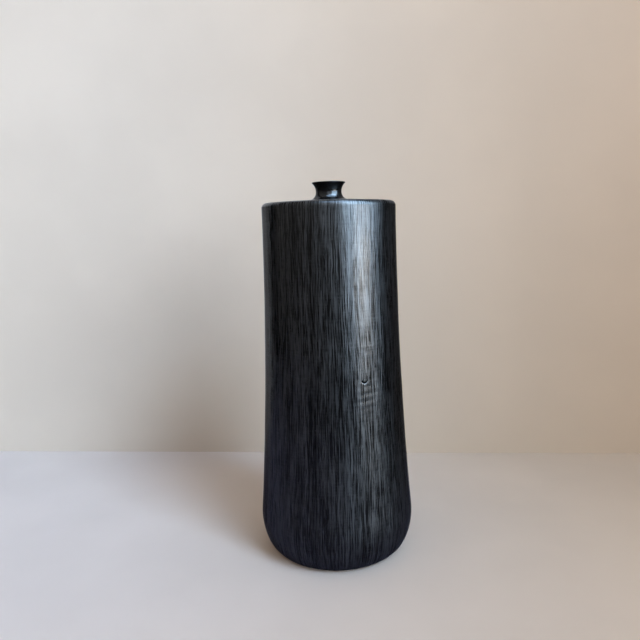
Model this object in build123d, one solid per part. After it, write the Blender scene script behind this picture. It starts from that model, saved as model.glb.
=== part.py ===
from build123d import *

# Tall black clay bottle-vase, hand built from separately formed pieces of clay luted together.
#
# From the floor up: a base pad, three wall courses, a shoulder cap and a neck, with a coil pressed into the
# inside corner over the pad. Between each two of them is a scored joint with a thin ring of slip in it.
#
# Millimetres, +Z up, origin at the centre of the foot, on the floor. The pot is round about Z, so every piece
# is a section, drawn as radius and height, turned once about Z.

import os
from math import acos, cos, radians, sin, sqrt

# Body outside
TOTAL_HEIGHT = 363.7
FOOT_RADIUS = 57.4
FOOT_LIFT = 6.0  # degrees, the heel's slope where it leaves the floor
FOOT_SWEEP = 17.0  # how far the heel keeps to that slope, as a curve handle
HEEL_RADIUS = 76.0  # where the heel runs into the wall
HEEL_HEIGHT = 39.0
HEEL_SWEEP = 6.8  # as FOOT_SWEEP, down along the wall's own slope
SHOULDER_RADIUS = 63.9
SHOULDER_HEIGHT = 345.0
SHOULDER_ROUND = 4.8

# Neck
FILLET_ROUND = 7.8
WAIST_RADIUS = 12.3
WAIST_HEIGHT = 354.6
LIP_RADIUS = 16.2
LIP_THICKNESS = 1.8
LIP_ROUND_HEIGHT = 0.8
BORE_RADIUS = 8.5
BORE_TOP = 352.5

# Clay thickness and the hollow
PAD_THICKNESS = 8.0
HEEL_WALL = 6.5
SHOULDER_WALL = 5.5
CAP_THICKNESS = 6.0
CEILING_RISE = 1.5
FLOOR_RADIUS = 61.0
FLOOR_SWEEP = 22.0  # as HEEL_SWEEP, for the inside of the heel
COIL_RADIUS = 8.0
COIL_SINK = 3.5  # how far the coil's middle is pressed past the inside corner

# Joints
LOWER_SEAM_HEIGHT = 98.0
UPPER_SEAM_HEIGHT = 212.0
NECK_SEAM_RADIUS = 17.0
NECK_SEAM_SLOPE = 29.0  # degrees
SEAM_REACH = 14.0  # how far a seam line runs to either side of its middle, past both skins
SLIP_THICKNESS = 0.6
SLIP_MARGIN = 1.4  # bare clay between the slip and either skin

CORNER_HEIGHT = SHOULDER_HEIGHT - SHOULDER_ROUND
CORNER_RADIUS = SHOULDER_RADIUS - SHOULDER_ROUND
FILLET_RADIUS = WAIST_RADIUS + FILLET_ROUND
FILLET_HEIGHT = WAIST_HEIGHT - FILLET_ROUND
LIP_EDGE_HEIGHT = TOTAL_HEIGHT - LIP_ROUND_HEIGHT
LIP_INSIDE = LIP_RADIUS - LIP_THICKNESS
CEILING_HEIGHT = SHOULDER_HEIGHT - CAP_THICKNESS
CEILING_RADIUS = SHOULDER_RADIUS - SHOULDER_WALL
HEEL_INSIDE = HEEL_RADIUS - HEEL_WALL


def wall_curve(low_radius, high_radius, high_height):
    """Parabola that stands upright at its top and flares to low_radius where it meets the heel."""
    handle = (high_radius, (HEEL_HEIGHT + high_height) / 2)
    return Bezier((low_radius, HEEL_HEIGHT), handle, (high_radius, high_height))


def down_the_wall(wall, reach):
    """The point that lies reach below the foot of a wall curve, on the curve's own slope."""
    return wall @ 0 - wall % 0 * reach


def quarter_round(centre, radius, middle_angle):
    """Quarter circle whose middle lies at middle_angle degrees about centre."""
    return CenterArc(centre, radius, middle_angle - 45, 90)


def flare_arc(start, end):
    """Arc that leaves start straight up and bends outward to end."""
    run = end[0] - start[0]
    rise = end[1] - start[1]
    bend = (run**2 + rise**2) / (2 * run)
    half_turn = acos(1 - run / bend) / 2
    middle = (start[0] + bend * (1 - cos(half_turn)), start[1] + bend * sin(half_turn))
    return ThreePointArc(start, middle, end)


def whole_outline():
    """The pot as if it were solid: heel, wall, shoulder, top, neck and lip."""
    wall = wall_curve(HEEL_RADIUS, SHOULDER_RADIUS, CORNER_HEIGHT)
    lift = radians(FOOT_LIFT)
    heel = Bezier(
        (FOOT_RADIUS, 0),
        (FOOT_RADIUS + FOOT_SWEEP * cos(lift), FOOT_SWEEP * sin(lift)),
        down_the_wall(wall, HEEL_SWEEP),
        wall @ 0,
    )
    middle_of_top = (CORNER_RADIUS + FILLET_RADIUS) / 2
    top = Bezier(
        (CORNER_RADIUS, SHOULDER_HEIGHT),
        (middle_of_top, SHOULDER_HEIGHT),
        (middle_of_top, FILLET_HEIGHT),
        (FILLET_RADIUS, FILLET_HEIGHT),
    )
    lip = ThreePointArc(
        (LIP_RADIUS, LIP_EDGE_HEIGHT),
        (LIP_RADIUS - LIP_THICKNESS / 2, TOTAL_HEIGHT),
        (LIP_INSIDE, LIP_EDGE_HEIGHT),
    )
    return make_face(
        [
            heel,
            wall,
            quarter_round((CORNER_RADIUS, CORNER_HEIGHT), SHOULDER_ROUND, 45),
            top,
            quarter_round((FILLET_RADIUS, WAIST_HEIGHT), FILLET_ROUND, 225),
            flare_arc((WAIST_RADIUS, WAIST_HEIGHT), (LIP_RADIUS, LIP_EDGE_HEIGHT)),
            lip,
            Polyline((LIP_INSIDE, LIP_EDGE_HEIGHT), (0, LIP_EDGE_HEIGHT), (0, 0), (FOOT_RADIUS, 0)),
        ]
    )


def hollow_outline():
    """The hollow: floor, inside of the wall, ceiling, bore and the flare of the mouth."""
    wall = wall_curve(HEEL_INSIDE, CEILING_RADIUS, CEILING_HEIGHT)
    floor_edge = (FLOOR_RADIUS, PAD_THICKNESS)
    heel = Bezier(floor_edge, down_the_wall(wall, FLOOR_SWEEP), wall @ 0)
    bore_bottom = (BORE_RADIUS, CEILING_HEIGHT + CEILING_RISE)
    bore_top = (BORE_RADIUS, BORE_TOP)
    mouth = (LIP_INSIDE, LIP_EDGE_HEIGHT)
    return make_face(
        [
            heel,
            wall,
            Polyline((CEILING_RADIUS, CEILING_HEIGHT), bore_bottom, bore_top),
            flare_arc(bore_top, mouth),
            Polyline(mouth, (0, LIP_EDGE_HEIGHT), (0, PAD_THICKNESS), floor_edge),
        ]
    )


def coil_outline(hollow):
    """The coil in the inside corner: the part of its round section that stands in the hollow."""
    return hollow & Pos(FLOOR_RADIUS, PAD_THICKNESS - COIL_SINK) * Circle(COIL_RADIUS)


def wall_seam(height):
    """Scarf joint through the wall, rising outward at 45 degrees."""
    depth = (CORNER_HEIGHT - height) / (CORNER_HEIGHT - HEEL_HEIGHT)
    outside = SHOULDER_RADIUS + (HEEL_RADIUS - SHOULDER_RADIUS) * depth**2
    mean_wall = (HEEL_WALL + SHOULDER_WALL) / 2
    middle = outside - mean_wall / 2
    return Line((middle - SEAM_REACH, height - SEAM_REACH), (middle + SEAM_REACH, height + SEAM_REACH))


def level_seam(inner_radius, height):
    """Level joint from the given radius out past the skin."""
    return Line((inner_radius, height), (HEEL_RADIUS + SEAM_REACH, height))


def neck_seam():
    """The cone on which the neck is seated, sloping down into the bore."""
    height = WAIST_HEIGHT - sqrt(FILLET_ROUND**2 - (FILLET_RADIUS - NECK_SEAM_RADIUS) ** 2)
    slope = radians(NECK_SEAM_SLOPE)
    reach = Vector(cos(slope), sin(slope)) * SEAM_REACH
    middle = Vector(NECK_SEAM_RADIUS, height)
    return Line(middle - reach, middle + reach)


def below(seam):
    """All of the plane under a seam, carried on level past both of its ends."""
    inner = seam @ 0
    outer = seam @ 1
    near = -SEAM_REACH
    far = HEEL_RADIUS + 2 * SEAM_REACH
    corners = [(near, near), (far, near), (far, outer.Y), outer, inner, (near, inner.Y)]
    return make_face(Polyline(*corners, close=True))


def slip_outline(seam, shell):
    """The slip along the stretch of a seam that lies in the clay, held back from both skins."""
    inside = (seam & shell).edges().sort_by(Edge.length)[-1]
    along = (inside @ 1 - inside @ 0).normalized()
    across = Vector(-along.Y, along.X) * (SLIP_THICKNESS / 2)
    start = inside @ 0 + along * SLIP_MARGIN
    end = inside @ 1 - along * SLIP_MARGIN
    return make_face(Polyline(start - across, end - across, end + across, start + across, close=True))


def scored(section, slips):
    """A piece's section with its share of every slip ring cut out of it."""
    for slip in slips:
        section = section - slip
    return section


def turned(sections):
    """The rings that sections sweep when they turn once about Z."""
    return revolve([Plane.XZ * section for section in sections], Axis.Z)


hollow = hollow_outline()
shell = whole_outline() - hollow
seams = {
    "base_pad": level_seam(FLOOR_RADIUS, PAD_THICKNESS),
    "foot_course": wall_seam(LOWER_SEAM_HEIGHT),
    "middle_course": wall_seam(UPPER_SEAM_HEIGHT),
    "upper_course": level_seam(CEILING_RADIUS, CEILING_HEIGHT),
    "shoulder_cap": neck_seam(),
}
slips = [slip_outline(seam, shell) for seam in seams.values()]
nodes = {"luting_slip": slips, "base_seam_coil": [coil_outline(hollow)]}
remaining = shell
for name, seam in seams.items():
    nodes[name] = [scored(remaining & below(seam), slips)]
    remaining = remaining - below(seam)
nodes["neck"] = [scored(remaining, slips)]

os.makedirs("parts", exist_ok=True)
for name, sections in nodes.items():
    export_step(turned(sections), f"parts/{name}.step")
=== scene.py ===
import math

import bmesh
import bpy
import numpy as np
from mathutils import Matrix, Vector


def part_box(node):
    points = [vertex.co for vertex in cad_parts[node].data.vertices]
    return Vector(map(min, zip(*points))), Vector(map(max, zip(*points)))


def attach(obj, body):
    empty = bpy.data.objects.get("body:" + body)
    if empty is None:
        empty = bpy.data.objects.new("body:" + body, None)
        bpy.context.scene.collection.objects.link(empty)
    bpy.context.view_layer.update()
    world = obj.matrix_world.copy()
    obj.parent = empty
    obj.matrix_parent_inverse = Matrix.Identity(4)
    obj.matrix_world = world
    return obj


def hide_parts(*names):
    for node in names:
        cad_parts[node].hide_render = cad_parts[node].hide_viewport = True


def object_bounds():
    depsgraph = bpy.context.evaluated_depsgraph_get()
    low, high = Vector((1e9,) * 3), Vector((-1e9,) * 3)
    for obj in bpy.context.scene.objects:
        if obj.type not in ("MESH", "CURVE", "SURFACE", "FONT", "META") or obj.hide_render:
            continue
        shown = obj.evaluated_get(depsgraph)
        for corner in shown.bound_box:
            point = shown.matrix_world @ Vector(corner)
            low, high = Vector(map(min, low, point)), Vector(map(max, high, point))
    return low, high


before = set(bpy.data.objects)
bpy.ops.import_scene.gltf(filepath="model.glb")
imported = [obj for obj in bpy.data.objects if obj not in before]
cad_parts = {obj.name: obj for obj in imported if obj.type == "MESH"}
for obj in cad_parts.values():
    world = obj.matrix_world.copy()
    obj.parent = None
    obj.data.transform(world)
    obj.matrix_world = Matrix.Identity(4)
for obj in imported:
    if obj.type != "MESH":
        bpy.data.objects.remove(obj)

# A tall bottle-vase of burnished black clay on a pale floor.
#
# Every CAD node is a ring about Z, so each visible piece is made the same way: its outline is cut out of the
# CAD node, divided finely, turned about Z, and moved by one relief function of place. Two pieces that meet in
# the CAD meet here too, because the same function moves both of their faces. Metres throughout, in the CAD's
# own frame, apart from the clay's materials, which count in millimetres.

MM = 0.001
DEGREE = math.pi / 180
WHOLE_TURN = 2 * math.pi

cad_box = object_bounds()
HEIGHT = cad_box[1].z
PAD_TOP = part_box("base_pad")[1].z
LOWER_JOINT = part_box("foot_course")[1].z
UPPER_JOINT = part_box("middle_course")[1].z
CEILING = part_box("shoulder_cap")[0].z
CAP_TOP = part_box("shoulder_cap")[1].z
SHOULDER_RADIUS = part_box("shoulder_cap")[1].x
LIP_RADIUS = 16.2 * MM
WALL = 6.0 * MM  # about how thick the clay is
SKIN_DEPTH = 1.0 * MM  # a face that lies deeper than this is raw clay

# How finely the pieces are divided
TURN_STEPS = 640
NECK_TURN_STEPS = 288
HIDDEN_TURN_STEPS = 240
SKIN_STEP = 1.35 * MM
CAP_STEP = 0.6 * MM
NECK_STEP = 0.25 * MM
MARK_STEP = 0.45 * MM
INSIDE_STEP = 3.0 * MM
FRONT_CROWDING = 0.35  # share by which a step round the pot is shorter at the marks, longer on the far side

# How the CAD's outlines are read
CUT_ANGLE = 0.0001  # radians off the plane y = 0, so that the cut runs along no edge
SAME_POINT = 0.05 * MM
WELD = SAME_POINT / 50
CORNER_ANGLE = 25 * DEGREE
CREASE_ANGLE = 40 * DEGREE
PROFILE_POINTS = 2001
LIP_RUBS = 6
LIP_REACH = 2.2 * MM  # how far down from the top the lip is rubbed round


# ---------------------------------------------------------------- outlines from the CAD


def section_chains(node):
    """The node's outline on the +X side, as lists of (radius, height), cut just beside the plane y = 0."""
    cut = bmesh.new()
    cut.from_mesh(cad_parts[node].data)
    bmesh.ops.remove_doubles(cut, verts=cut.verts, dist=WELD)
    beside = Vector((-math.sin(CUT_ANGLE), math.cos(CUT_ANGLE), 0))
    for normal, clear_both in ((Vector((1, 0, 0)), False), (beside, True)):
        geometry = [*cut.verts, *cut.edges, *cut.faces]
        bmesh.ops.bisect_plane(
            cut, geom=geometry, plane_co=(0, 0, 0), plane_no=normal, clear_inner=True, clear_outer=clear_both
        )
    bmesh.ops.remove_doubles(cut, verts=cut.verts, dist=WELD)
    chains = []
    left = set(cut.verts)
    while left:
        ends = [v for v in left if len(v.link_edges) == 1]
        vertex = min(ends or left, key=lambda v: (v.co.z, v.co.x))
        chain = []
        while vertex is not None:
            left.discard(vertex)
            chain.append((math.hypot(vertex.co.x, vertex.co.y), vertex.co.z))
            ahead = [e.other_vert(vertex) for e in vertex.link_edges]
            vertex = next((v for v in ahead if v in left), None)
        chains.append(np.array(chain))
    cut.free()
    return chains


def tidy_chain(chain):
    """The chain without doubled points, running anticlockwise, and whether it closes on itself."""
    closed = chain[0][0] > SAME_POINT or chain[-1][0] > SAME_POINT
    kept = [chain[0]]
    for point in chain[1:]:
        if np.linalg.norm(point - kept[-1]) > SAME_POINT:
            kept.append(point)
    if closed and np.linalg.norm(kept[0] - kept[-1]) < SAME_POINT:
        kept.pop()
    chain = np.array(kept)
    ahead = np.roll(chain, -1, axis=0)
    area = np.sum(chain[:, 0] * ahead[:, 1] - ahead[:, 0] * chain[:, 1])
    return (chain if area > 0 else chain[::-1]), closed


def split_at_corners(chain, closed):
    """The chain as smooth runs that share their end points."""
    before = np.roll(chain, 1, axis=0)
    after = np.roll(chain, -1, axis=0)
    heading_in = np.arctan2(*(chain - before).T[::-1])
    heading_out = np.arctan2(*(after - chain).T[::-1])
    bend = np.abs((heading_out - heading_in + math.pi) % WHOLE_TURN - math.pi)
    corners = [i for i in range(len(chain)) if bend[i] > CORNER_ANGLE]
    if closed:
        chain = np.roll(chain, -corners[0], axis=0)
        chain = np.vstack([chain, chain[:1]])
        corners = [i - corners[0] for i in corners] + [len(chain) - 1]
    else:
        inner = [i for i in corners if 0 < i < len(chain) - 1]
        corners = [0, *inner, len(chain) - 1]
    return [chain[a:b + 1] for a, b in zip(corners, corners[1:])]


def slopes_along(lengths, points):
    """The slope at every point of a run, from the parabola through it and its neighbours."""
    step = np.diff(lengths)[:, None]
    chord = np.diff(points, axis=0) / step
    if len(points) == 2:
        return np.vstack([chord, chord])
    inner = (chord[:-1] * step[1:] + chord[1:] * step[:-1]) / (step[:-1] + step[1:])
    return np.vstack([2 * chord[0] - inner[0], inner, 2 * chord[-1] - inner[-1]])


def divide(run, step_at):
    """The run as a smooth curve in steps of about step_at(point), without its last point."""
    lengths = np.concatenate([[0], np.cumsum(np.linalg.norm(np.diff(run, axis=0), axis=1))])
    slopes = slopes_along(lengths, run)
    made = []
    for i in range(len(run) - 1):
        span = lengths[i + 1] - lengths[i]
        t = [0.0]
        while t[-1] < 1:
            t.append(t[-1] + step_at(run[i] * (1 - t[-1]) + run[i + 1] * t[-1]) / span)
        t = (np.array(t[:-1]) / t[-1])[:, None]
        made.append(
            run[i] * (1 + 2 * t) * (1 - t) ** 2
            + slopes[i] * span * t * (1 - t) ** 2
            + run[i + 1] * t**2 * (3 - 2 * t)
            + slopes[i + 1] * span * t**2 * (t - 1)
        )
    return np.vstack(made)


outlines = {node: [tidy_chain(chain) for chain in section_chains(node)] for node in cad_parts}


def widest_at(heights):
    """The pot's outside radius at each height, from all of the outlines."""
    radius = np.zeros_like(heights)
    for chains in outlines.values():
        for chain, closed in chains:
            ring = np.vstack([chain, chain[:1]]) if closed else chain
            for (r0, z0), (r1, z1) in zip(ring, ring[1:]):
                inside = (heights >= min(z0, z1)) & (heights <= max(z0, z1))
                share = (heights[inside] - z0) / (z1 - z0 if z1 != z0 else 1)
                radius[inside] = np.maximum(radius[inside], r0 + share * (r1 - r0))
    return radius


profile_heights = np.linspace(0, HEIGHT, PROFILE_POINTS)
profile_radii = widest_at(profile_heights)


def skin_radius(height):
    """The pot's outside radius at any height."""
    return np.interp(height, profile_heights, profile_radii)


# ---------------------------------------------------------------- relief


def ease(x):
    """0 below 0, 1 above 1, and smooth between."""
    x = np.clip(x, 0, 1)
    return x * x * (3 - 2 * x)


def bell(x):
    """1 at 0, falling smoothly to nothing on both sides."""
    return np.exp(-0.5 * x * x)


def skin_noise(seed, turn, height, cells_around, cell_height):
    """Noise from -1 to 1 that closes round the pot, in upright cells whose ends are staggered."""
    rng = np.random.default_rng(seed)
    rows = int(HEIGHT / cell_height) + 4
    lattice = rng.uniform(-1, 1, (cells_around, rows))
    stagger = rng.uniform(0, 1, cells_around)
    across = (turn / WHOLE_TURN % 1.0) * cells_around
    column = np.floor(across).astype(int)
    blend = ease(across - column)
    total = 0
    for side, weight in ((column % cells_around, 1 - blend), ((column + 1) % cells_around, blend)):
        up = np.clip(height / cell_height, 0, rows - 3) + stagger[side]
        row = np.floor(up).astype(int)
        rise = ease(up - row)
        total = total + weight * (lattice[side, row] * (1 - rise) + lattice[side, row + 1] * rise)
    return total


def layered_noise(layers, turn, height):
    """The sum of layers of noise, each given as size, seed, cells round the pot and cell height."""
    total = 0
    for size, seed, cells_around, cell_height in layers:
        total = total + size * skin_noise(seed, turn, height, cells_around, cell_height)
    return total


# Marks on the skin. A turn of zero faces -Y, where the camera stands, and turns grow towards +X.
NAIL_TURN = 24.9 * DEGREE
NAIL_HEIGHT = 184.6 * MM
NAIL_RADIUS = 2.4 * MM
NAIL_EDGE = 0.55 * MM
NAIL_DEPTH = 0.45 * MM
SWELL_WIDTH = 1.1 * MM
SWELL_LENGTH = 1.5 * MM
SWELL_SIZE = 0.15 * NAIL_DEPTH
RIPPLE_TURN = 25.0 * DEGREE
RIPPLE_HEIGHT = NAIL_HEIGHT - 17.6 * MM
RIPPLE_SPACING = 6.6 * MM
RIPPLE_REACH = 12 * MM
RIPPLE_SLOPE = 0.05
RIPPLE_SIZE = 0.075 * MM
CRACK_TURN = -4.1 * DEGREE
CRACK_LOW = 269 * MM
CRACK_HIGH = 303 * MM
CRACK_WIDTH = 0.34 * MM
CRACK_DEPTH = 0.3 * MM
DENT_TURN = 51 * DEGREE
DENT_DEPTH = 0.45 * MM
BURR_TURN = DENT_TURN + 5 * DEGREE
BURR_SIZE = 0.25 * MM
NICK_WIDTH = 1.6 * MM
NICK_LENGTH = 1.4 * MM
NICK_HEIGHT = CAP_TOP - 3.4 * MM
RIDGE_DROP = 4 * MM  # how far the middle of a pair of ridges lies under the upper end of its joint
RIDGE_DRIFT = 1.6 * MM
RIDGE_OFFSET = 3.6 * MM  # from the middle of a pair to either ridge
RIDGE_WIDTH = 1.7 * MM
RIDGE_SIZE = 0.10 * MM
SHOULDER_TILT = 0.45 * DEGREE
SHOULDER_WAVE = 0.12 * MM
NECK_SHIFT = 0.6 * MM  # how far the neck was set off towards +X

# Unevenness of the clay. Waves: size, waves in a turn, start and twist. Layers: as layered_noise takes them.
ROUND_WAVES = ((-0.18 * MM, 2, 0.0, 0.2), (0.13 * MM, 3, 1.1, -0.4), (0.07 * MM, 5, 2.3, 0.8))
HAND_LAYERS = ((0.14 * MM, 11, 9, 38 * MM), (0.05 * MM, 12, 16, 13 * MM), (0.018 * MM, 13, 26, 5 * MM))
FACET_LAYERS = ((0.045 * MM, 21, 74, 85 * MM), (0.028 * MM, 22, 148, 60 * MM), (0.012 * MM, 23, 270, 34 * MM))
FINGER_SPACING = 15 * MM
FINGER_DRIFT = 5 * MM
FINGER_SIZE = 0.35 * MM
INSIDE_LAYERS = ((0.15 * MM, 42, 40, 12 * MM),)
NECK_LAYERS = ((0.03 * MM, 51, 14, 4 * MM),)
NECK_OVAL = 0.06 * MM


def past(turn, middle):
    """How far round the wall turn lies past middle, as a length on the shoulder's circle."""
    return ((turn - middle + math.pi) % WHOLE_TURN - math.pi) * SHOULDER_RADIUS


def nail_mark(turn, height):
    """0 to 1 along the crescent that a fingernail pressed in: the lower part of a small circle."""
    across = past(turn, NAIL_TURN)
    up = height - NAIL_HEIGHT
    off_circle = np.hypot(across, up) - NAIL_RADIUS
    lower_part = ease((0.1 - up / NAIL_RADIUS) / 0.5)
    fainter_right = 1 - 0.4 * ease(across / NAIL_RADIUS)
    return bell(off_circle / NAIL_EDGE) * lower_part * fainter_right


def nail_swell(turn, height):
    """0 to 1 where the nail pushed clay up inside its crescent."""
    return bell(past(turn, NAIL_TURN) / SWELL_WIDTH) * bell((height - NAIL_HEIGHT) / SWELL_LENGTH)


def ripple_patch(turn, height):
    """-1 to 1 over the few nearly level ripples under the nail's mark."""
    across = past(turn, RIPPLE_TURN)
    up = height - RIPPLE_HEIGHT - RIPPLE_SLOPE * across
    return bell(across / RIPPLE_REACH) * bell(up / RIPPLE_REACH) * np.sin(WHOLE_TURN * up / RIPPLE_SPACING)


def crack_line(turn, height):
    """0 to 1 along a thin crack that wavers and nearly closes here and there."""
    along = (height - CRACK_LOW) / (CRACK_HIGH - CRACK_LOW)
    waver = 0.3 * MM * np.sin(7 * along) + 0.15 * MM * np.sin(23 * along)
    open_part = 0.35 + 0.65 * ease(0.5 + 0.5 * np.sin(31 * along) + 0.3 * np.sin(13 * along))
    ends = ease(6 * along) * ease(6 * (1 - along))
    return open_part * ends * bell((past(turn, CRACK_TURN) - waver) / CRACK_WIDTH)


def cut_shade_marks(turn, height):
    """0 to 1, how much of the skin is cut away: the clay there has no sheen, and its dark colour is painted
    shade in the cut.
    """
    return np.maximum(nail_mark(turn, height), 0.8 * crack_line(turn, height))


def joint_ridges(turn, height):
    """Faint doubled ridges, uneven and drifting, where two wall courses were luted together."""
    total = 0
    for seed, joint in ((31, LOWER_JOINT), (32, UPPER_JOINT)):
        drift = RIDGE_DRIFT * skin_noise(seed, turn, 0 * height, 7, HEIGHT)
        strength = 0.5 + 0.5 * skin_noise(seed + 10, turn, 0 * height, 9, HEIGHT)
        off = height - joint + RIDGE_DROP + drift
        for middle in (RIDGE_OFFSET, -RIDGE_OFFSET):
            total = total + strength * bell((off - middle) / RIDGE_WIDTH)
    return RIDGE_SIZE * total


def shoulder_nick(turn, height):
    """A small dent in the shoulder's edge and the burr that it pushed up beside it."""
    total = 0
    for middle, size in ((DENT_TURN, -DENT_DEPTH), (BURR_TURN, BURR_SIZE)):
        across = bell(past(turn, middle) / NICK_WIDTH)
        total = total + size * across * bell((height - NICK_HEIGHT) / NICK_LENGTH)
    return total


def body_relief(turn, height):
    """How far the burnished skin stands out from the CAD's true round."""
    total = layered_noise(HAND_LAYERS + FACET_LAYERS, turn, height)
    for size, count, start, twist in ROUND_WAVES:
        total = total + size * np.cos(count * turn + start + twist * WHOLE_TURN * height / HEIGHT)
    total = total - NAIL_DEPTH * nail_mark(turn, height) + SWELL_SIZE * nail_swell(turn, height)
    total = total - CRACK_DEPTH * crack_line(turn, height) + RIPPLE_SIZE * ripple_patch(turn, height)
    return total + joint_ridges(turn, height) + shoulder_nick(turn, height)


def inside_relief(turn, height):
    """Finger ridges on the unburnished inside of the wall."""
    drift = FINGER_DRIFT * skin_noise(41, turn, height, 6, 60 * MM)
    ridges = FINGER_SIZE * np.sin(WHOLE_TURN * (height + drift) / FINGER_SPACING)
    return ridges + layered_noise(INSIDE_LAYERS, turn, height)


def neck_relief(turn, height):
    """The neck's slight oval and unevenness."""
    return NECK_OVAL * np.cos(2 * turn + 0.7) + layered_noise(NECK_LAYERS, turn, height)


def moved(radius, turn, height):
    """Where hand work leaves the points of any piece, as their x, y and z, for arrays of places."""
    at_skin = 1 - np.clip((skin_radius(height) - radius) / WALL, 0, 1)
    below_cap = ease((CEILING - height) / (4 * MM))
    on_shoulder = ease((radius - 0.45 * SHOULDER_RADIUS) / (0.4 * SHOULDER_RADIUS))
    off_foot = ease(height / (5 * MM))
    out = at_skin * np.maximum(below_cap, on_shoulder) * off_foot * body_relief(turn, height)

    off_bore = ease((radius - 1.3 * LIP_RADIUS) / LIP_RADIUS)
    off_floor = ease((height - PAD_TOP) / (6 * MM))
    off_ceiling = ease((CEILING - height) / (6 * MM))
    out = out + (1 - at_skin) * off_bore * off_floor * off_ceiling * inside_relief(turn, height)

    above_cap = ease((height - CAP_TOP) / (3 * MM))
    outside_bore = ease((radius - 0.6 * LIP_RADIUS) / (0.15 * LIP_RADIUS))
    out = out + above_cap * outside_bore * neck_relief(turn, height)

    high_up = ease((height - 0.6 * HEIGHT) / (0.35 * HEIGHT))
    off_neck = ease((radius - 1.3 * LIP_RADIUS) / (2 * LIP_RADIUS))
    tilt = -radius * np.sin(turn) * math.tan(SHOULDER_TILT)
    up = high_up * off_neck * (tilt + SHOULDER_WAVE * skin_noise(61, turn, height, 8, HEIGHT))

    by_neck = 1 - ease((radius - 1.2 * LIP_RADIUS) / LIP_RADIUS)
    sideways = NECK_SHIFT * by_neck * ease((height - CEILING) / (4 * MM))
    return (radius + out) * np.sin(turn) + sideways, -(radius + out) * np.cos(turn), height + up


# ---------------------------------------------------------------- meshes


def turned_mesh(rings, closed, steps):
    """An anticlockwise outline turned about Z: its vertices, faces, material numbers and the painted shade of
    its cut marks.
    """
    turn = np.arange(steps) * (WHOLE_TURN / steps)
    turn = turn - FRONT_CROWDING * np.sin(turn - NAIL_TURN)
    places = np.stack(moved(rings[:, :1], turn[None, :], rings[:, 1:] + 0 * turn), axis=2).reshape(-1, 3)
    lower = np.arange(len(rings) if closed else len(rings) - 1)
    upper = (lower + 1) % len(rings)
    here = np.arange(steps)
    ahead = (here + 1) % steps
    corners = ((lower, here), (lower, ahead), (upper, ahead), (upper, here))
    faces = np.stack([(ring[:, None] * steps + along).ravel() for ring, along in corners], axis=1)
    middle = (rings[lower] + rings[upper]) / 2
    deep = skin_radius(middle[:, 1]) - middle[:, 0] > SKIN_DEPTH
    underneath = middle[:, 1] < SAME_POINT
    on_skin = (skin_radius(rings[:, 1]) - rings[:, 0] < SKIN_DEPTH)[:, None]
    # painted shade in the nail's crescent and the crack, on the skin only
    cut_shades = on_skin * cut_shade_marks(turn[None, :], rings[:, 1][:, None])
    return places, faces, np.repeat((deep | underneath).astype(int), steps), cut_shades.ravel()


def soften_lip(rings):
    """The neck's outline with the two edges of its lip rubbed round."""
    for _ in range(LIP_RUBS):
        average = (np.roll(rings, 1, axis=0) + 2 * rings + np.roll(rings, -1, axis=0)) / 4
        near_lip = (rings[:, 1] > HEIGHT - LIP_REACH)[:, None]
        rings = np.where(near_lip, average, rings)
    return rings


def fill_mesh(mesh, places, faces):
    """Puts vertices and four-sided faces into an empty mesh."""
    mesh.vertices.add(len(places))
    mesh.vertices.foreach_set("co", places.ravel())
    mesh.loops.add(faces.size)
    mesh.loops.foreach_set("vertex_index", faces.ravel())
    mesh.polygons.add(len(faces))
    mesh.polygons.foreach_set("loop_start", np.arange(len(faces)) * 4)
    mesh.polygons.foreach_set("loop_total", np.full(len(faces), 4))


def close_axis(mesh):
    """Welds the vertices that lie together on the axis of a disc."""
    build = bmesh.new()
    build.from_mesh(mesh)
    on_axis = [v for v in build.verts if math.hypot(v.co.x, v.co.y) < SAME_POINT]
    bmesh.ops.remove_doubles(build, verts=on_axis, dist=SAME_POINT)
    build.to_mesh(mesh)
    build.free()


def build_piece(name, node, slot, materials, steps, skin_step, inside_step):
    """The visible piece that stands for a CAD node. The first material is the skin's, the last the rest's."""

    def step_at(point):
        if skin_radius(point[1]) - point[0] > SKIN_DEPTH:
            return inside_step
        if abs(point[1] - NAIL_HEIGHT) < 2 * NAIL_RADIUS:
            return MARK_STEP
        return skin_step

    parts = []
    for chain, closed in outlines[node]:
        runs = [divide(run, step_at) for run in split_at_corners(chain, closed)]
        rings = np.vstack(runs if closed else [*runs, chain[-1:]])
        if node == "neck":
            rings = soften_lip(rings)
        parts.append(turned_mesh(rings, closed, steps))
    places, faces, kinds, cut_shades = zip(*parts)
    starts = np.cumsum([0, *map(len, places)])
    mesh = bpy.data.meshes.new(name)
    fill_mesh(mesh, np.vstack(places), np.vstack([face + start for face, start in zip(faces, starts)]))
    for material in materials:
        mesh.materials.append(material)
    mesh.polygons.foreach_set("material_index", np.minimum(np.concatenate(kinds), len(materials) - 1))
    mesh.update(calc_edges=True)
    # the cut attribute carries the painted shade of the nail's crescent and the crack
    mesh.attributes.new("cut", "FLOAT", "POINT").data.foreach_set("value", np.concatenate(cut_shades))
    close_axis(mesh)
    mesh.shade_smooth()
    mesh.set_sharp_from_angle(angle=CREASE_ANGLE)
    piece = bpy.data.objects.new(name, mesh)
    bpy.context.scene.collection.objects.link(piece)
    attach(piece, "root")
    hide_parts(node)
    return piece


# ---------------------------------------------------------------- material nodes


def put(tree, socket, value):
    """Gives an input a value: links it if the value is a socket, else sets it."""
    if isinstance(value, bpy.types.NodeSocket):
        tree.links.new(value, socket)
    else:
        socket.default_value = value


def add(tree, kind, inputs=None, **settings):
    """A new node. settings are its properties; inputs maps an input's name or number to its value."""
    made = tree.nodes.new(kind)
    for key, value in settings.items():
        setattr(made, key, value)
    for key, value in (inputs or {}).items():
        put(tree, made.inputs[key], value)
    return made


def maths(tree, operation, a, b=0.0, c=0.0):
    """The result of a Math node."""
    return add(tree, "ShaderNodeMath", {0: a, 1: b, 2: c}, operation=operation).outputs[0]


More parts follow.
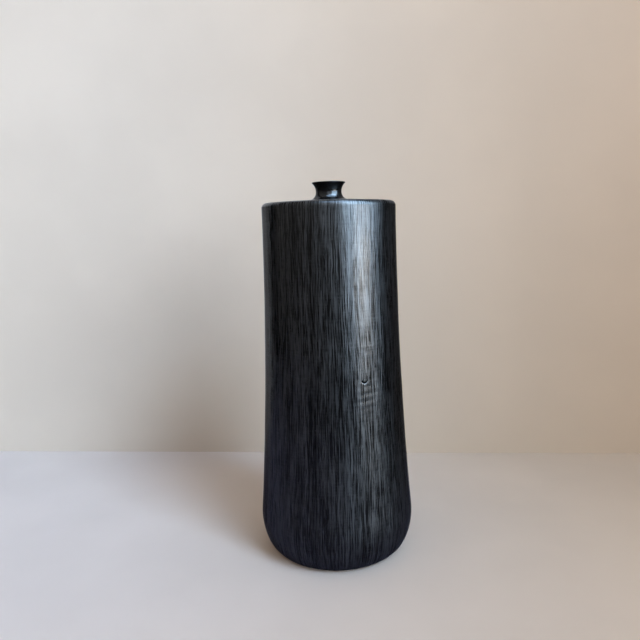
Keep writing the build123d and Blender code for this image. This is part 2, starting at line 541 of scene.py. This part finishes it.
def product(tree, first, *others):
    """All of the values multiplied."""
    for other in others:
        first = maths(tree, "MULTIPLY", first, other)
    return first


def weighted(tree, values, weights):
    """The sum of the named values, each times its weight."""
    total = 0.0
    for name, weight in weights.items():
        total = maths(tree, "MULTIPLY_ADD", values[name], weight, total)
    return total


def fit(tree, value, low, high, to_low=0.0, to_high=1.0):
    """value moved smoothly from low..high to to_low..to_high, and held there outside it."""
    inputs = {"Value": value, "From Min": low, "From Max": high, "To Min": to_low, "To Max": to_high}
    return add(tree, "ShaderNodeMapRange", inputs, interpolation_type="SMOOTHSTEP").outputs[0]


def blend_value(tree, share, a, b):
    """a where share is 0, b where it is 1."""
    return add(tree, "ShaderNodeMix", {0: share, 2: a, 3: b}, data_type="FLOAT").outputs[0]


def blend_colour(tree, share, a, b):
    """As blend_value, for colours."""
    return add(tree, "ShaderNodeMix", {0: share, 6: a, 7: b}, data_type="RGBA").outputs[2]


def noise(tree, vector, detail=2.0, roughness=0.5):
    """Soft noise from 0 to 1 with cells of one unit."""
    inputs = {"Vector": vector, "Scale": 1.0, "Detail": detail, "Roughness": roughness}
    return add(tree, "ShaderNodeTexNoise", inputs).outputs["Fac"]


def cells(tree, vector):
    """A flat random value from 0 to 1 for each long cell, and the distance to the cell's edge."""
    inputs = {"Vector": vector, "Scale": 1.0}
    flat = add(tree, "ShaderNodeTexVoronoi", inputs, feature="F1").outputs["Color"]
    value = add(tree, "ShaderNodeSeparateColor", {0: flat}).outputs[0]
    edge = add(tree, "ShaderNodeTexVoronoi", inputs, feature="DISTANCE_TO_EDGE").outputs[0]
    return value, edge


def bump_from(tree, height):
    """The normal of a surface with this height in millimetres."""
    return add(tree, "ShaderNodeBump", {"Strength": 1.0, "Distance": MM, "Height": height}).outputs[0]


def facing_away(tree):
    """0 where the surface faces the eye, 1 at the rim."""
    return add(tree, "ShaderNodeLayerWeight", {"Blend": 0.5}).outputs["Facing"]


def new_material(name):
    """A material with a Principled surface, and its parts."""
    material = bpy.data.materials.new(name)
    material.use_nodes = True
    tree = material.node_tree
    return material, tree, tree.nodes["Principled BSDF"]


def dress(tree, surface, inputs):
    """Gives a surface its inputs by name."""
    for name, value in inputs.items():
        put(tree, surface.inputs[name], value)


WANDER_CELL = (90.0, 150.0)  # millimetres across and up, between two sways of the strokes


class Place:
    """Where a shaded point is, in millimetres, as sockets: round the pot at a set radius, and up."""

    def __init__(self, tree, wander=0.0):
        self.tree = tree
        coordinates = add(tree, "ShaderNodeTexCoord").outputs["Object"]
        parts = add(tree, "ShaderNodeSeparateXYZ", {0: coordinates})
        self.up = maths(tree, "MULTIPLY", parts.outputs["Z"], 1 / MM)
        level_parts = {"X": parts.outputs["X"], "Y": parts.outputs["Y"]}
        flat = add(tree, "ShaderNodeCombineXYZ", level_parts).outputs[0]
        length = add(tree, "ShaderNodeVectorMath", {0: flat}, operation="LENGTH").outputs["Value"]
        self.radius = maths(tree, "MULTIPLY", length, 1 / MM)
        unit = add(tree, "ShaderNodeVectorMath", {0: flat}, operation="NORMALIZE").outputs[0]
        self.set_round(unit)
        if wander:
            swing = noise(tree, self.upright(*WANDER_CELL), 1)
            angle = fit(tree, swing, 0.2, 0.8, -wander, wander)
            inputs = {"Vector": unit, "Center": (0, 0, 0), "Angle": angle}
            self.set_round(add(tree, "ShaderNodeVectorRotate", inputs, rotation_type="Z_AXIS").outputs[0])

    def set_round(self, unit):
        """Takes the point's direction from the axis as its place on a circle of the shoulder's size."""
        around = add(self.tree, "ShaderNodeSeparateXYZ", {0: unit})
        self.east = maths(self.tree, "MULTIPLY", around.outputs["X"], SHOULDER_RADIUS / MM)
        self.north = maths(self.tree, "MULTIPLY", around.outputs["Y"], SHOULDER_RADIUS / MM)

    def upright(self, width, length, shift=0.0):
        """Coordinates whose unit cell is width across and length tall, for strokes that run up the wall."""
        inputs = {
            "X": maths(self.tree, "MULTIPLY_ADD", self.east, 1 / width, shift),
            "Y": maths(self.tree, "MULTIPLY_ADD", self.north, 1 / width, shift),
            "Z": maths(self.tree, "DIVIDE", self.up, length),
        }
        return add(self.tree, "ShaderNodeCombineXYZ", inputs).outputs[0]

    def level(self, width, length):
        """As upright, for strokes that run round the pot: width is across the stroke, length along it."""
        inputs = {
            "X": maths(self.tree, "DIVIDE", self.east, length),
            "Y": maths(self.tree, "DIVIDE", self.north, length),
            "Z": maths(self.tree, "DIVIDE", maths(self.tree, "ADD", self.radius, self.up), width),
        }
        return add(self.tree, "ShaderNodeCombineXYZ", inputs).outputs[0]


# ---------------------------------------------------------------- materials

# Burnishing strokes as upright takes them: width and length in millimetres, and a shift where two are alike
HAIR = (0.50, 12)
FINE = (0.75, 38, 7.0)
MIDDLE = (2.2, 90)
BROAD = (8.0, 130)
BEADS = (0.55, 2.6)
FACET = (1.2, 40, 3.0)
CLOUD = (30.0, 50)
# Strokes that run round the pot, as level takes them: faint ones on the wall, and the top's own
WEFT = (1.8, 9)
TOP_HAIR = (0.85, 40)
TOP_MIDDLE = (2.8, 60)
# Between these radii, in millimetres, the wall's strokes turn into the top's
TOP_STARTS = 61.5
TOP_RULES = 57.0

STROKE_WANDER = 0.022  # radians
# How much each layer of the strokes counts for the shine, the brushed look, the relief in millimetres and
# the roughness
SHINE_SHARES = {
    "hair": 0.29,
    "fine": 0.33,
    "middle": 0.09,
    "broad": 0.06,
    "beads": 0.11,
    "weft": 0.09,
    "facet": 0.03,
}
BRUSHED_SHARES = {"hair": 0.2, "fine": 0.5, "middle": 0.15, "broad": 0.15}
RELIEF_SHARES = {"hair": 0.018, "fine": 0.026, "middle": 0.04, "broad": 0.10, "facet": 0.006, "dull": -0.012}
ROUGH_SHARES = {"shine": 0.07, "brushed": 0.08}


def burnish_strokes(tree, place, top):
    """The layers of the burnishing by name, as values from 0 to 1."""
    lay = place.upright
    facet, facet_edge = cells(tree, lay(*FACET))
    strokes = {
        "hair": noise(tree, lay(*HAIR), 0),
        "fine": noise(tree, lay(*FINE), 0),
        "middle": noise(tree, lay(*MIDDLE), 1),
        "broad": noise(tree, lay(*BROAD), 1),
        "beads": noise(tree, lay(*BEADS), 1),
        "weft": noise(tree, place.level(*WEFT), 1),
        "cloud": noise(tree, lay(*CLOUD), 2),
        "facet": facet,
        "groove": fit(tree, facet_edge, 0.10, 0.0),
    }
    if top:
        on_top = fit(tree, place.radius, TOP_STARTS, TOP_RULES)
        for name, cell in (("hair", TOP_HAIR), ("middle", TOP_MIDDLE)):
            strokes[name] = blend_value(tree, on_top, strokes[name], noise(tree, place.level(*cell), 2))
    return strokes


def dull_spots(tree, strokes):
    """0 to 1 where the pebble missed the clay: in pits, mostly between strokes, and in broken grooves."""
    pits = fit(tree, strokes["beads"], 0.54, 0.68)
    between = fit(tree, strokes["shine"], 0.9, 0.2, 0.35, 1.0)
    grooves = product(tree, strokes["groove"], fit(tree, strokes["beads"], 0.38, 0.52))
    return maths(tree, "MAXIMUM", product(tree, pits, between), grooves)


def burnished_clay(name, top=False):
    """Black clay rubbed to a graphite sheen with a pebble, in long strokes up the wall."""
    material, tree, surface = new_material(name)
    strokes = burnish_strokes(tree, Place(tree, wander=STROKE_WANDER), top)
    shine = fit(tree, weighted(tree, strokes, SHINE_SHARES), 0.40, 0.60)
    strokes["shine"] = shine
    strokes["brushed"] = fit(tree, weighted(tree, strokes, BRUSHED_SHARES), 0.40, 0.60)
    dull = dull_spots(tree, strokes)
    strokes["dull"] = dull
    # cut: painted shade in the nail's crescent and the crack, which darkens the colour and takes the sheen
    # away
    cut = fit(tree, add(tree, "ShaderNodeAttribute", attribute_name="cut").outputs["Fac"], 0.15, 0.75)

    patchy = fit(tree, strokes["cloud"], 0.35, 0.65, 0.208, 0.258)
    rough = maths(tree, "ADD", weighted(tree, strokes, ROUGH_SHARES), patchy)

    normal = add(tree, "ShaderNodeNewGeometry").outputs["Normal"]
    facing_up = add(tree, "ShaderNodeSeparateXYZ", {0: normal}).outputs["Z"]
    rim = product(tree, facing_away(tree), fit(tree, facing_up, 0.15, 0.50, 1.0, 0.0))
    sheen = product(
        tree,
        maths(tree, "MULTIPLY_ADD", shine, 0.46, 0.24),
        fit(tree, strokes["broad"], 0.30, 0.70, 0.80, 1.20),
        fit(tree, dull, 0.0, 1.0, 1.0, 0.55),
        fit(tree, rim, 0.22, 0.78, 1.0, 0.05),
        fit(tree, cut, 0.0, 1.0, 1.0, 0.0),
    )

    cool = (0.0003, 0.0004, 0.0006, 1)
    warm = (0.0006, 0.0004, 0.0003, 1)
    graphite = (0.0050, 0.0050, 0.0056, 1)
    # dark for the dull spots' own clay, and as painted shade in the cuts
    dull_clay_and_cut_shade = (0.0002, 0.0002, 0.0002, 1)
    clay = blend_colour(tree, fit(tree, strokes["cloud"], 0.40, 0.62), cool, warm)
    rubbed = blend_colour(tree, shine, clay, graphite)
    look = {
        "Base Color": blend_colour(tree, maths(tree, "MAXIMUM", dull, cut), rubbed, dull_clay_and_cut_shade),
        "Roughness": rough,
        "Specular IOR Level": sheen,
        "Normal": bump_from(tree, weighted(tree, strokes, RELIEF_SHARES)),
        "Tangent": add(tree, "ShaderNodeTangent", direction_type="RADIAL", axis="Z").outputs[0],
        "Anisotropic": 0.35,
        "Anisotropic Rotation": 0.25,
    }
    dress(tree, surface, look)
    return material


def polished_clay(name):
    """The neck, rubbed harder and round the pot until it shines; painted shade turns its sheen down under the
    lip.
    """
    material, tree, surface = new_material(name)
    place = Place(tree)
    layers = {
        "rings": noise(tree, place.level(0.8, 60)),
        "smear": noise(tree, place.level(3.0, 40)),
        "pits": fit(tree, noise(tree, place.level(0.5, 3), 2, 0.6), 0.64, 0.72),
    }
    smooth = fit(tree, layers["smear"], 0.35, 0.65, 0.10, 0.17)
    dark = (0.002, 0.002, 0.0022, 1)
    light = (0.006, 0.0055, 0.0055, 1)
    # painted shade: the sheen is turned down under the lip
    under_lip_shade = fit(tree, place.up, 350.0, 356.0, 1.0, 0.35)
    look = {
        "Base Color": blend_colour(tree, layers["smear"], dark, light),
        "Roughness": maths(tree, "MULTIPLY_ADD", layers["pits"], 0.2, smooth),
        "Specular IOR Level": product(tree, fit(tree, facing_away(tree), 0.25, 0.80, 0.42, 0.03), under_lip_shade),
        "Normal": bump_from(tree, weighted(tree, layers, {"rings": 0.020, "smear": 0.05, "pits": -0.03})),
    }
    dress(tree, surface, look)
    return material


def plain_clay(name, dark, light, rough_low, rough_high):
    """Fired black clay as it leaves the fingers: matte, grainy, a little dusty."""
    material, tree, surface = new_material(name)
    place = Place(tree)
    layers = {
        "grain": noise(tree, place.upright(0.5, 0.5), 3, 0.65),
        "scrape": noise(tree, place.level(1.2, 40)),
    }
    patch = noise(tree, place.upright(14, 14), 3, 0.55)
    look = {
        "Base Color": blend_colour(tree, fit(tree, patch, 0.38, 0.62), dark, light),
        "Roughness": fit(tree, layers["grain"], 0.3, 0.7, rough_low, rough_high),
        "Specular IOR Level": 0.35,
        "Normal": bump_from(tree, weighted(tree, layers, {"grain": 0.06, "scrape": 0.12})),
    }
    dress(tree, surface, look)
    return material


# ---------------------------------------------------------------- the pieces

wall_skin = burnished_clay("burnished_clay")
cap_skin = burnished_clay("burnished_clay_top", top=True)
neck_skin = polished_clay("polished_clay")
raw = plain_clay("plain_clay", (0.020, 0.019, 0.018, 1), (0.034, 0.032, 0.030, 1), 0.70, 0.92)
slip = plain_clay("fired_slip", (0.030, 0.028, 0.026, 1), (0.045, 0.043, 0.041, 1), 0.85, 0.97)

wall_steps = (TURN_STEPS, SKIN_STEP, INSIDE_STEP)
cap_steps = (TURN_STEPS, CAP_STEP, INSIDE_STEP)
neck_steps = (NECK_TURN_STEPS, NECK_STEP, 2 * NECK_STEP)
coil_steps = (HIDDEN_TURN_STEPS, INSIDE_STEP / 2, INSIDE_STEP / 2)
slip_steps = (HIDDEN_TURN_STEPS, INSIDE_STEP, INSIDE_STEP)

build_piece("base_pad_clay", "base_pad", "burnished_clay", [wall_skin, raw], *wall_steps)
build_piece("seam_coil_clay", "base_seam_coil", "plain_clay", [raw], *coil_steps)
for course in ("foot_course", "middle_course", "upper_course"):
    build_piece(f"{course}_clay", course, "burnished_clay", [wall_skin, raw], *wall_steps)
build_piece("shoulder_cap_clay", "shoulder_cap", "burnished_clay", [cap_skin, raw], *cap_steps)
build_piece("neck_clay", "neck", "polished_clay", [neck_skin], *neck_steps)
build_piece("luting_slip_rings", "luting_slip", "fired_slip", [slip], *slip_steps)


# ---------------------------------------------------------------- stage

STAGE_SIZE = 3.0
WALL_BEHIND = 0.247
WALL_TURN = 4.2 * DEGREE
TABLE_FRONT = 0.50  # how far the floor reaches in the pot's sheen, to the front and to either side
TABLE_SIDE = 0.62
UNLIT = (0.012, 0.012, 0.012, 1)


def pale_material(name, left, right, painted_light, mirror_left, mirror_right, beyond, one_sided=False):
    """Plain pale plaster that runs from one colour on the left to another on the right. The change is painted
    light: cooler where the daylight falls on the left, warmer in the shade on the right.

    bright gives its painted light and shade, as brightness, from the place's three sockets. In the pot's
    sheen it runs from mirror_left to mirror_right, and it is gone where beyond, a function like bright, gives
    1. One-sided plaster can't be seen from behind."""
    material, tree, surface = new_material(name)
    place = add(tree, "ShaderNodeNewGeometry")
    parts = add(tree, "ShaderNodeSeparateXYZ", {0: place.outputs["Position"]})
    east, north, up = (parts.outputs[axis] for axis in "XYZ")
    inputs = {"Vector": place.outputs["Position"], "Scale": 5.0, "Detail": 4.0}
    mottle = add(tree, "ShaderNodeTexNoise", inputs).outputs["Fac"]
    # painted light and shade from bright, times the plaster's own mottle
    strength = product(tree, painted_light(tree, east, north, up), fit(tree, mottle, 0.3, 0.7, 0.93, 1.0))
    # painted light: the plaster turns from cooler on the lit left to warmer in the shade on the right
    plaster = blend_colour(tree, fit(tree, east, -0.35, 0.50), left, right)
    seen = blend_colour(tree, strength, (0, 0, 0, 1), plaster)
    mirror = blend_colour(tree, fit(tree, east, -0.05, 0.35), mirror_left, mirror_right)
    mirrored = blend_colour(tree, beyond(tree, east, north, up), mirror, UNLIT)
    in_sheen = add(tree, "ShaderNodeLightPath").outputs["Is Glossy Ray"]
    colour = blend_colour(tree, in_sheen, seen, mirrored)
    dress(tree, surface, {"Base Color": colour, "Roughness": 0.9, "Specular IOR Level": 0.2})
    if one_sided:
        clear = add(tree, "ShaderNodeBsdfTransparent").outputs[0]
        faces = {0: place.outputs["Backfacing"], 1: surface.outputs[0], 2: clear}
        choose = add(tree, "ShaderNodeMixShader", faces)
        put(tree, tree.nodes["Material Output"].inputs["Surface"], choose.outputs[0])
    return material


def floor_painted_shade(tree, east, north, up):
    """Painted shade: the floor darkens a little towards the wall."""
    return fit(tree, north, -0.35, 0.2, 1.0, 0.84)


def wall_painted_light(tree, east, north, up):
    """Painted light: the wall brightens upward."""
    return fit(tree, up, -0.1, 0.75, 0.80, 1.0)


def past_table(tree, east, north, up):
    """Where the floor's mirror image ends: a table's front edge and its two sides."""
    front = fit(tree, north, -TABLE_FRONT, -TABLE_FRONT - 0.12)
    sides = fit(tree, maths(tree, "ABSOLUTE", east), TABLE_SIDE, TABLE_SIDE + 0.15)
    return maths(tree, "MAXIMUM", front, sides)


def past_lit_wall(tree, east, north, up):
    """Where the wall's mirror image ends: away from the window on the right, and far out on the left."""
    right = fit(tree, east, 0.0, 0.25, 0.0, 0.8)
    left = fit(tree, east, -0.40, -0.54)
    return maths(tree, "MAXIMUM", right, left)


def sheet(name, corners, material):
    """A flat four-cornered part of the stage."""
    mesh = bpy.data.meshes.new(name)
    mesh.from_pydata(corners, [], [(0, 1, 2, 3)])
    mesh.materials.append(material)
    made = bpy.data.objects.new(name, mesh)
    bpy.context.scene.collection.objects.link(made)
    return made


far = STAGE_SIZE
left_behind = WALL_BEHIND + far * math.tan(WALL_TURN)
right_behind = WALL_BEHIND - far * math.tan(WALL_TURN)
pale_floor = pale_material(
    "pale_floor",
    # left and right plaster colours: painted light, cooler on the lit left, warmer in the shade on the right
    (0.75, 0.70, 0.67, 1),
    (0.76, 0.63, 0.48, 1),
    floor_painted_shade,
    (0.29, 0.28, 0.40, 1),
    (0.11, 0.10, 0.09, 1),
    past_table,
)
pale_wall = pale_material(
    "pale_wall",
    (0.73, 0.66, 0.56, 1),
    # left and right plaster colours: painted light, cooler on the lit left, warmer in the shade on the right
    (0.77, 0.62, 0.45, 1),
    wall_painted_light,
    (0.74, 0.71, 0.66, 1),
    (0.55, 0.45, 0.36, 1),
    past_lit_wall,
    one_sided=True,
)
sheet("floor", [(-far, -far, 0), (far, -far, 0), (far, far, 0), (-far, far, 0)], pale_floor)
sheet(
    "backdrop",
    [(-far, left_behind, 0), (far, right_behind, 0), (far, right_behind, far), (-far, left_behind, far)],
    pale_wall,
)


# ---------------------------------------------------------------- light


def round_the_pot(turn, away, height):
    """A place turn degrees from the camera's side (-Y, towards +X), this far from the axis and this high."""
    return (away * math.sin(turn * DEGREE), -away * math.cos(turn * DEGREE), height)


def soft_light(name, place, aim, width, height, radiance, colour):
    """A rectangular soft light at place, facing aim, that the camera doesn't see."""
    lamp = bpy.data.lights.new(name, "AREA")
    lamp.shape = "RECTANGLE"
    lamp.size = width
    lamp.size_y = height
    lamp.energy = radiance * math.pi * width * height
    lamp.color = colour
    made = bpy.data.objects.new(name, lamp)
    made.location = place
    made.rotation_euler = (Vector(aim) - Vector(place)).to_track_quat("-Z", "Y").to_euler()
    made.visible_camera = False
    bpy.context.scene.collection.objects.link(made)
    return made


# The window's mirror image: lamps that only the pot's sheen sees. The panes stand upright round the pot.
WINDOW_AWAY = 1.1
for name, turn, low, high, width, radiance, colour in (
    ("window_main", 55, 0.19, 0.36, 0.50, 25.0, (1.0, 0.98, 0.94)),
    ("window_side", 32, 0.28, 0.38, 0.36, 5.0, (0.88, 0.94, 1.0)),
    ("window_sky", 55, 0.36, 2.00, 1.05, 25.0, (0.52, 0.75, 1.0)),
    ("window_glow", 8, 0.43, 2.00, 0.80, 2.8, (0.74, 0.86, 1.0)),
):
    middle = (low + high) / 2
    place = round_the_pot(turn, WINDOW_AWAY, middle)
    pane = soft_light(name, place, (0, 0, middle), width, high - low, radiance, colour)
    pane.visible_diffuse = False
skylight_place = round_the_pot(46, 0.62, 1.75)
skylight = soft_light("window_high", skylight_place, (0, 0, CAP_TOP), 1.5, 1.1, 9.0, (0.45, 0.68, 1.0))
skylight.visible_diffuse = False

# Daylight that the stage and the clay's own colour see: it falls off to the right and throws the shadow
DAYLIGHT_SIZE = 1.3
DAYLIGHT_AIM = (-0.85, WALL_BEHIND, 0.2)
DAYLIGHT_SPREAD = 46 * DEGREE
for name, turn, away, high, radiance, colour in (
    ("daylight_low", 34, 2.1, 0.90, 0.95, (0.72, 0.84, 1.0)),
    ("daylight_high", 32, 1.6, 2.10, 1.5, (0.48, 0.70, 1.0)),
):
    place = round_the_pot(turn, away, high)
    daylight = soft_light(name, place, DAYLIGHT_AIM, DAYLIGHT_SIZE, DAYLIGHT_SIZE, radiance, colour)
    daylight.data.spread = DAYLIGHT_SPREAD
    daylight.visible_glossy = False

# The room round the stage: dim and light halves for the sheen, warm for plain light, pale grey for the camera
ROOM_LOW = (0.010, 0.010, 0.011, 1)
ROOM_HIGH = (0.54, 0.53, 0.52, 1)
ROOM_LIGHT = (0.50, 0.38, 0.28, 1)
ROOM_SEEN = (0.60, 0.59, 0.57, 1)
world = bpy.data.worlds.new("studio")
bpy.context.scene.world = world
world.use_nodes = True
room = world.node_tree
rays = add(room, "ShaderNodeLightPath").outputs
direction = add(room, "ShaderNodeTexCoord").outputs["Generated"]
rise = add(room, "ShaderNodeSeparateXYZ", {0: direction}).outputs["Z"]
in_sheen = blend_colour(room, fit(room, rise, -0.10, 0.02), ROOM_LOW, ROOM_HIGH)
lit = blend_colour(room, rays["Is Diffuse Ray"], in_sheen, ROOM_LIGHT)
put(room, room.nodes["Background"].inputs["Color"], blend_colour(room, rays["Is Camera Ray"], lit, ROOM_SEEN))


# ---------------------------------------------------------------- camera

CAMERA_BACK = 1.649 * HEIGHT
CAMERA_UP = 0.8892 * HEIGHT
CAMERA_PITCH = 8.75 * DEGREE
CAMERA_YAW = 1.09 * DEGREE
CAMERA_ROLL = -1.74 * DEGREE
CAMERA_LENS = 34.65  # millimetres, on film 36 mm wide

camera = bpy.data.objects.new("camera", bpy.data.cameras.new("camera"))
camera.data.lens = CAMERA_LENS
camera.data.sensor_width = 36
camera.data.clip_start = 0.01
stand = Matrix.Translation((0, -CAMERA_BACK, CAMERA_UP))
aim = Matrix.Rotation(CAMERA_YAW, 4, "Z") @ Matrix.Rotation(math.pi / 2 - CAMERA_PITCH, 4, "X")
camera.matrix_world = stand @ aim @ Matrix.Rotation(CAMERA_ROLL, 4, "Z")
bpy.context.scene.collection.objects.link(camera)
bpy.context.scene.camera = camera
bpy.context.scene.view_settings.view_transform = "Standard"
